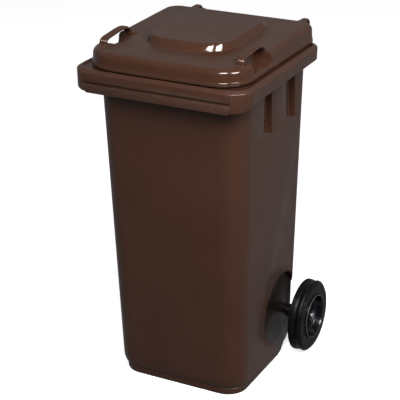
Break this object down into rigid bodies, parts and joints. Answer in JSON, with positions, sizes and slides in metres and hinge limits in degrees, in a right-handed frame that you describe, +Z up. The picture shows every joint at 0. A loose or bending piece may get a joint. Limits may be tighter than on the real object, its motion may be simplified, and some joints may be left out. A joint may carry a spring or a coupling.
{
  "type": "wheelie bin",
  "caption": "Two-wheeled refuse bin with tapered moulded body, comb rim, rear grip bar and a hinged lid with side hand straps on a steel axle.",
  "frame": {"origin": "on the ground, in the middle of the bin's width and of its depth over the hinge arms", "axes": "+Z up, the hinge, grip and wheels at +Y, the comb rim and the front at -Y, +X to the right wheel of a person looking along +Y"},
  "size_m": [0.503, 0.553, 0.9469],
  "materials": {
    "body_plastic": "dark chocolate brown HDPE, satin with a soft sheen",
    "lid_plastic": "dark chocolate brown HDPE, smoother than the body",
    "pin_plastic": "brown moulded plastic",
    "axle_steel": "zinc-plated round bar",
    "tyre_rubber": "solid black rubber, dull",
    "hub_plastic": "black moulded plastic, glossy",
    "sleeve_plastic": "black moulded plastic",
    "washer_steel": "zinc-plated pressed washer",
    "lock_steel": "turned steel pin",
    "spring_steel": "spring wire",
    "plug_plastic": "black moulded plastic",
    "buffer_rubber": "black rubber stop"
  },
  "bodies": {
    "bin": {"body": "body_plastic", "hinge_pin_right": "pin_plastic", "hinge_pin_left": "pin_plastic", "lid_buffer_right": "buffer_rubber", "lid_buffer_left": "buffer_rubber"},
    "lid": {"lid": "lid_plastic"},
    "axle": {"axle": "axle_steel", "spacer_sleeve_right": "sleeve_plastic", "spacer_sleeve_left": "sleeve_plastic", "axle_washer_right": "washer_steel", "axle_washer_left": "washer_steel"},
    "wheel_right": {"tyre_right": "tyre_rubber", "wheel_hub_right": "hub_plastic", "lock_plug_right": "plug_plastic", "lock_spring_right": "spring_steel"},
    "wheel_left": {"tyre_left": "tyre_rubber", "wheel_hub_left": "hub_plastic", "lock_plug_left": "plug_plastic", "lock_spring_left": "spring_steel"},
    "lock_right": {"lock_pin_right": "lock_steel"},
    "lock_left": {"lock_pin_left": "lock_steel"}
  },
  "joints": [
    {"name": "lid_hinge", "type": "hinge", "parent": "bin", "child": "lid", "pos_m": [0, 0.2595, 0.901], "axis": [-1, 0, 0], "range_deg": [0, 270]},
    {"name": "axle_spin", "type": "hinge", "parent": "bin", "child": "axle", "pos_m": [0, 0.1625, 0.1], "axis": [-1, 0, 0], "continuous": true},
    {"name": "wheel_right_spin", "type": "hinge", "parent": "axle", "child": "wheel_right", "pos_m": [0.227, 0.1625, 0.1], "axis": [-1, 0, 0], "continuous": true},
    {"name": "wheel_left_spin", "type": "hinge", "parent": "axle", "child": "wheel_left", "pos_m": [-0.227, 0.1625, 0.1], "axis": [-1, 0, 0], "continuous": true},
    {"name": "lock_right_lift", "type": "slide", "parent": "wheel_right", "child": "lock_right", "axis": [0, 0, 1], "range_m": [0, 0.003], "stiffness_N_per_m": 800, "springref_m": -0.002, "deforming": ["lock_spring_right"]},
    {"name": "lock_left_lift", "type": "slide", "parent": "wheel_left", "child": "lock_left", "axis": [0, 0, 1], "range_m": [0, 0.003], "stiffness_N_per_m": 800, "springref_m": -0.002, "deforming": ["lock_spring_left"]}
  ]
}
